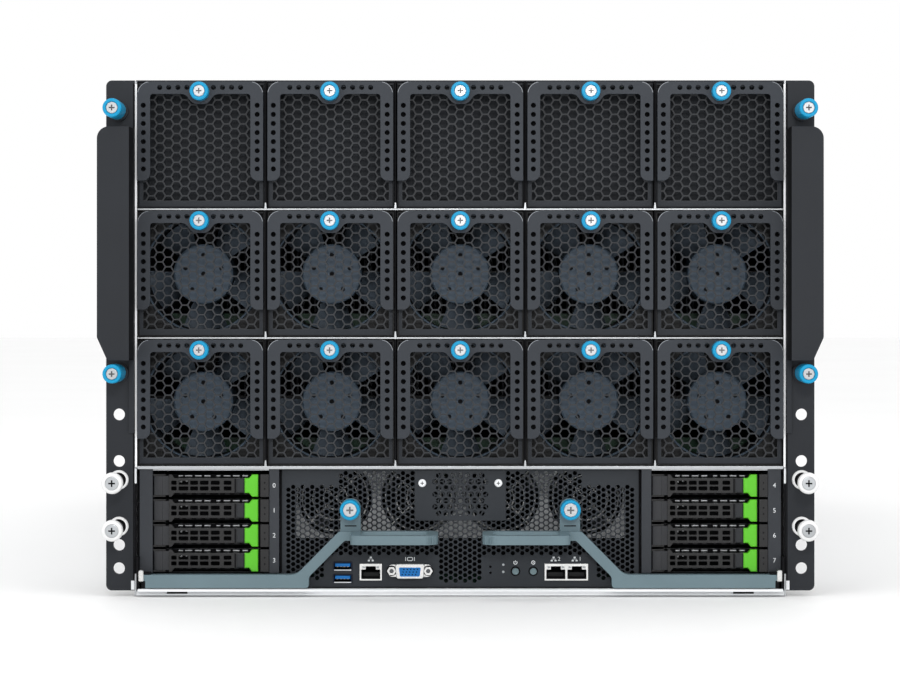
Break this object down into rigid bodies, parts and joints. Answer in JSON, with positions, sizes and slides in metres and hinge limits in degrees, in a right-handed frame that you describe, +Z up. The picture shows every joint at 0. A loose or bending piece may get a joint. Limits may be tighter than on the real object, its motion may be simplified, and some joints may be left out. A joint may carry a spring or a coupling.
{
  "type": "gpu server",
  "caption": "Tall rack-mounted GPU server with fan modules behind hexagon mesh, a slide-out base tray with drive carriers and cam levers, and rack ears with pull handles.",
  "frame": {"origin": "middle of the base in plan, on the underside of the chassis", "axes": "+Z up, front with the drives and fans towards -Y, +X to the right seen from the front"},
  "size_m": [0.4872, 0.922, 0.352],
  "materials": {
    "galvanised_steel": "satin zinc-coated sheet",
    "black_steel": "satin powder coat",
    "module_black": "satin",
    "rotor_grey": "semi-gloss",
    "knob_blue": "satin",
    "bright_steel": "bright",
    "drive_black": "satin",
    "lever_black": "satin",
    "post_black": "satin",
    "cam_grey": "satin paint",
    "socket_steel": "satin",
    "button_black": "satin",
    "board_green": "semi-gloss solder resist",
    "sink_metal": "satin",
    "psu_grey": "satin"
  },
  "bodies": {
    "chassis": {"chassis_shell": "galvanised_steel", "inner_deck": "galvanised_steel", "fan_cage": "galvanised_steel", "rear_panel": "galvanised_steel", "power_supplies": "psu_grey", "gpu_baseboard": "board_green", "gpu_heatsinks": "sink_metal", "rack_ear_left": "black_steel", "rack_ear_right": "black_steel", "ear_thumbscrews": "knob_blue", "rack_screws": "bright_steel", "fan_blanks": "module_black"},
    "cover": {"top_cover": "galvanised_steel"},
    "tray": {"tray_pan": "galvanised_steel", "tray_front_panel": "black_steel", "drive_cages": "post_black", "motherboard": "board_green", "cpu_heatsinks": "sink_metal", "io_connectors": "socket_steel", "tray_fans": "module_black"},
    "cam_lever_left": {"cam_lever_left": "cam_grey"},
    "cam_lever_right": {"cam_lever_right": "cam_grey"},
    "power_button": {"power_button": "button_black"},
    "ident_button": {"ident_button": "button_black"},
    "drive_carrier_0": {"drive_carrier_0": "drive_black"},
    "drive_lever_0": {"drive_lever_0": "lever_black"},
    "drive_carrier_1": {"drive_carrier_1": "drive_black"},
    "drive_lever_1": {"drive_lever_1": "lever_black"},
    "drive_carrier_2": {"drive_carrier_2": "drive_black"},
    "drive_lever_2": {"drive_lever_2": "lever_black"},
    "drive_carrier_3": {"drive_carrier_3": "drive_black"},
    "drive_lever_3": {"drive_lever_3": "lever_black"},
    "drive_carrier_4": {"drive_carrier_4": "drive_black"},
    "drive_lever_4": {"drive_lever_4": "lever_black"},
    "drive_carrier_5": {"drive_carrier_5": "drive_black"},
    "drive_lever_5": {"drive_lever_5": "lever_black"},
    "drive_carrier_6": {"drive_carrier_6": "drive_black"},
    "drive_lever_6": {"drive_lever_6": "lever_black"},
    "drive_carrier_7": {"drive_carrier_7": "drive_black"},
    "drive_lever_7": {"drive_lever_7": "lever_black"},
    "fan_module_upper_1": {"fan_module_upper_1": "module_black"},
    "fan_rotor_upper_1": {"fan_rotor_upper_1": "rotor_grey"},
    "fan_module_upper_2": {"fan_module_upper_2": "module_black"},
    "fan_rotor_upper_2": {"fan_rotor_upper_2": "rotor_grey"},
    "fan_module_upper_3": {"fan_module_upper_3": "module_black"},
    "fan_rotor_upper_3": {"fan_rotor_upper_3": "rotor_grey"},
    "fan_module_upper_4": {"fan_module_upper_4": "module_black"},
    "fan_rotor_upper_4": {"fan_rotor_upper_4": "rotor_grey"},
    "fan_module_upper_5": {"fan_module_upper_5": "module_black"},
    "fan_rotor_upper_5": {"fan_rotor_upper_5": "rotor_grey"},
    "fan_module_lower_1": {"fan_module_lower_1": "module_black"},
    "fan_rotor_lower_1": {"fan_rotor_lower_1": "rotor_grey"},
    "fan_module_lower_2": {"fan_module_lower_2": "module_black"},
    "fan_rotor_lower_2": {"fan_rotor_lower_2": "rotor_grey"},
    "fan_module_lower_3": {"fan_module_lower_3": "module_black"},
    "fan_rotor_lower_3": {"fan_rotor_lower_3": "rotor_grey"},
    "fan_module_lower_4": {"fan_module_lower_4": "module_black"},
    "fan_rotor_lower_4": {"fan_rotor_lower_4": "rotor_grey"},
    "fan_module_lower_5": {"fan_module_lower_5": "module_black"},
    "fan_rotor_lower_5": {"fan_rotor_lower_5": "rotor_grey"}
  },
  "joints": [
    {"name": "tray_slide", "type": "slide", "parent": "chassis", "child": "tray", "axis": [0, -1, 0], "range_m": [0, 0.3]},
    {"name": "cover_slide", "type": "slide", "parent": "chassis", "child": "cover", "axis": [0, 1, 0], "range_m": [0, 0.3]},
    {"name": "cam_lever_left_hinge", "type": "hinge", "parent": "tray", "child": "cam_lever_left", "pos_m": [-0.2135, -0.426, 0.0103], "axis": [0, 0, -1], "range_deg": [0, 30]},
    {"name": "cam_lever_right_hinge", "type": "hinge", "parent": "tray", "child": "cam_lever_right", "pos_m": [0.2135, -0.426, 0.0103], "axis": [0, 0, 1], "range_deg": [0, 30]},
    {"name": "power_button_press", "type": "slide", "parent": "tray", "child": "power_button", "axis": [0, 1, 0], "range_m": [0, 0.0008], "stiffness_N_per_m": 800},
    {"name": "ident_button_press", "type": "slide", "parent": "tray", "child": "ident_button", "axis": [0, 1, 0], "range_m": [0, 0.0008], "stiffness_N_per_m": 800},
    {"name": "drive_0_slide", "type": "slide", "parent": "tray", "child": "drive_carrier_0", "axis": [0, -1, 0], "range_m": [0, 0.13]},
    {"name": "drive_0_lever", "type": "hinge", "parent": "drive_carrier_0", "child": "drive_lever_0", "pos_m": [-0.2051, -0.4195, 0.075], "axis": [0, 0, -1], "range_deg": [0, 50]},
    {"name": "drive_1_slide", "type": "slide", "parent": "tray", "child": "drive_carrier_1", "axis": [0, -1, 0], "range_m": [0, 0.13]},
    {"name": "drive_1_lever", "type": "hinge", "parent": "drive_carrier_1", "child": "drive_lever_1", "pos_m": [-0.2051, -0.4195, 0.05795], "axis": [0, 0, -1], "range_deg": [0, 50]},
    {"name": "drive_2_slide", "type": "slide", "parent": "tray", "child": "drive_carrier_2", "axis": [0, -1, 0], "range_m": [0, 0.13]},
    {"name": "drive_2_lever", "type": "hinge", "parent": "drive_carrier_2", "child": "drive_lever_2", "pos_m": [-0.2051, -0.4195, 0.0409], "axis": [0, 0, -1], "range_deg": [0, 50]},
    {"name": "drive_3_slide", "type": "slide", "parent": "tray", "child": "drive_carrier_3", "axis": [0, -1, 0], "range_m": [0, 0.13]},
    {"name": "drive_3_lever", "type": "hinge", "parent": "drive_carrier_3", "child": "drive_lever_3", "pos_m": [-0.2051, -0.4195, 0.02385], "axis": [0, 0, -1], "range_deg": [0, 50]},
    {"name": "drive_4_slide", "type": "slide", "parent": "tray", "child": "drive_carrier_4", "axis": [0, -1, 0], "range_m": [0, 0.13]},
    {"name": "drive_4_lever", "type": "hinge", "parent": "drive_carrier_4", "child": "drive_lever_4", "pos_m": [0.1351, -0.4195, 0.075], "axis": [0, 0, -1], "range_deg": [0, 50]},
    {"name": "drive_5_slide", "type": "slide", "parent": "tray", "child": "drive_carrier_5", "axis": [0, -1, 0], "range_m": [0, 0.13]},
    {"name": "drive_5_lever", "type": "hinge", "parent": "drive_carrier_5", "child": "drive_lever_5", "pos_m": [0.1351, -0.4195, 0.05795], "axis": [0, 0, -1], "range_deg": [0, 50]},
    {"name": "drive_6_slide", "type": "slide", "parent": "tray", "child": "drive_carrier_6", "axis": [0, -1, 0], "range_m": [0, 0.13]},
    {"name": "drive_6_lever", "type": "hinge", "parent": "drive_carrier_6", "child": "drive_lever_6", "pos_m": [0.1351, -0.4195, 0.0409], "axis": [0, 0, -1], "range_deg": [0, 50]},
    {"name": "drive_7_slide", "type": "slide", "parent": "tray", "child": "drive_carrier_7", "axis": [0, -1, 0], "range_m": [0, 0.13]},
    {"name": "drive_7_lever", "type": "hinge", "parent": "drive_carrier_7", "child": "drive_lever_7", "pos_m": [0.1351, -0.4195, 0.02385], "axis": [0, 0, -1], "range_deg": [0, 50]},
    {"name": "fan_upper_1_slide", "type": "slide", "parent": "chassis", "child": "fan_module_upper_1", "axis": [0, -1, 0], "range_m": [0, 0.08]},
    {"name": "fan_upper_1_spin", "type": "hinge", "parent": "fan_module_upper_1", "child": "fan_rotor_upper_1", "pos_m": [-0.17704, -0.4153, 0.21955], "axis": [0, 1, 0], "continuous": true},
    {"name": "fan_upper_2_slide", "type": "slide", "parent": "chassis", "child": "fan_module_upper_2", "axis": [0, -1, 0], "range_m": [0, 0.08]},
    {"name": "fan_upper_2_spin", "type": "hinge", "parent": "fan_module_upper_2", "child": "fan_rotor_upper_2", "pos_m": [-0.08852, -0.4153, 0.21955], "axis": [0, 1, 0], "continuous": true},
    {"name": "fan_upper_3_slide", "type": "slide", "parent": "chassis", "child": "fan_module_upper_3", "axis": [0, -1, 0], "range_m": [0, 0.08]},
    {"name": "fan_upper_3_spin", "type": "hinge", "parent": "fan_module_upper_3", "child": "fan_rotor_upper_3", "pos_m": [0, -0.4153, 0.21955], "axis": [0, 1, 0], "continuous": true},
    {"name": "fan_upper_4_slide", "type": "slide", "parent": "chassis", "child": "fan_module_upper_4", "axis": [0, -1, 0], "range_m": [0, 0.08]},
    {"name": "fan_upper_4_spin", "type": "hinge", "parent": "fan_module_upper_4", "child": "fan_rotor_upper_4", "pos_m": [0.08852, -0.4153, 0.21955], "axis": [0, 1, 0], "continuous": true},
    {"name": "fan_upper_5_slide", "type": "slide", "parent": "chassis", "child": "fan_module_upper_5", "axis": [0, -1, 0], "range_m": [0, 0.08]},
    {"name": "fan_upper_5_spin", "type": "hinge", "parent": "fan_module_upper_5", "child": "fan_rotor_upper_5", "pos_m": [0.17704, -0.4153, 0.21955], "axis": [0, 1, 0], "continuous": true},
    {"name": "fan_lower_1_slide", "type": "slide", "parent": "chassis", "child": "fan_module_lower_1", "axis": [0, -1, 0], "range_m": [0, 0.08]},
    {"name": "fan_lower_1_spin", "type": "hinge", "parent": "fan_module_lower_1", "child": "fan_rotor_lower_1", "pos_m": [-0.17704, -0.4153, 0.13172], "axis": [0, 1, 0], "continuous": true},
    {"name": "fan_lower_2_slide", "type": "slide", "parent": "chassis", "child": "fan_module_lower_2", "axis": [0, -1, 0], "range_m": [0, 0.08]},
    {"name": "fan_lower_2_spin", "type": "hinge", "parent": "fan_module_lower_2", "child": "fan_rotor_lower_2", "pos_m": [-0.08852, -0.4153, 0.13172], "axis": [0, 1, 0], "continuous": true},
    {"name": "fan_lower_3_slide", "type": "slide", "parent": "chassis", "child": "fan_module_lower_3", "axis": [0, -1, 0], "range_m": [0, 0.08]},
    {"name": "fan_lower_3_spin", "type": "hinge", "parent": "fan_module_lower_3", "child": "fan_rotor_lower_3", "pos_m": [0, -0.4153, 0.13172], "axis": [0, 1, 0], "continuous": true},
    {"name": "fan_lower_4_slide", "type": "slide", "parent": "chassis", "child": "fan_module_lower_4", "axis": [0, -1, 0], "range_m": [0, 0.08]},
    {"name": "fan_lower_4_spin", "type": "hinge", "parent": "fan_module_lower_4", "child": "fan_rotor_lower_4", "pos_m": [0.08852, -0.4153, 0.13172], "axis": [0, 1, 0], "continuous": true},
    {"name": "fan_lower_5_slide", "type": "slide", "parent": "chassis", "child": "fan_module_lower_5", "axis": [0, -1, 0], "range_m": [0, 0.08]},
    {"name": "fan_lower_5_spin", "type": "hinge", "parent": "fan_module_lower_5", "child": "fan_rotor_lower_5", "pos_m": [0.17704, -0.4153, 0.13172], "axis": [0, 1, 0], "continuous": true}
  ]
}
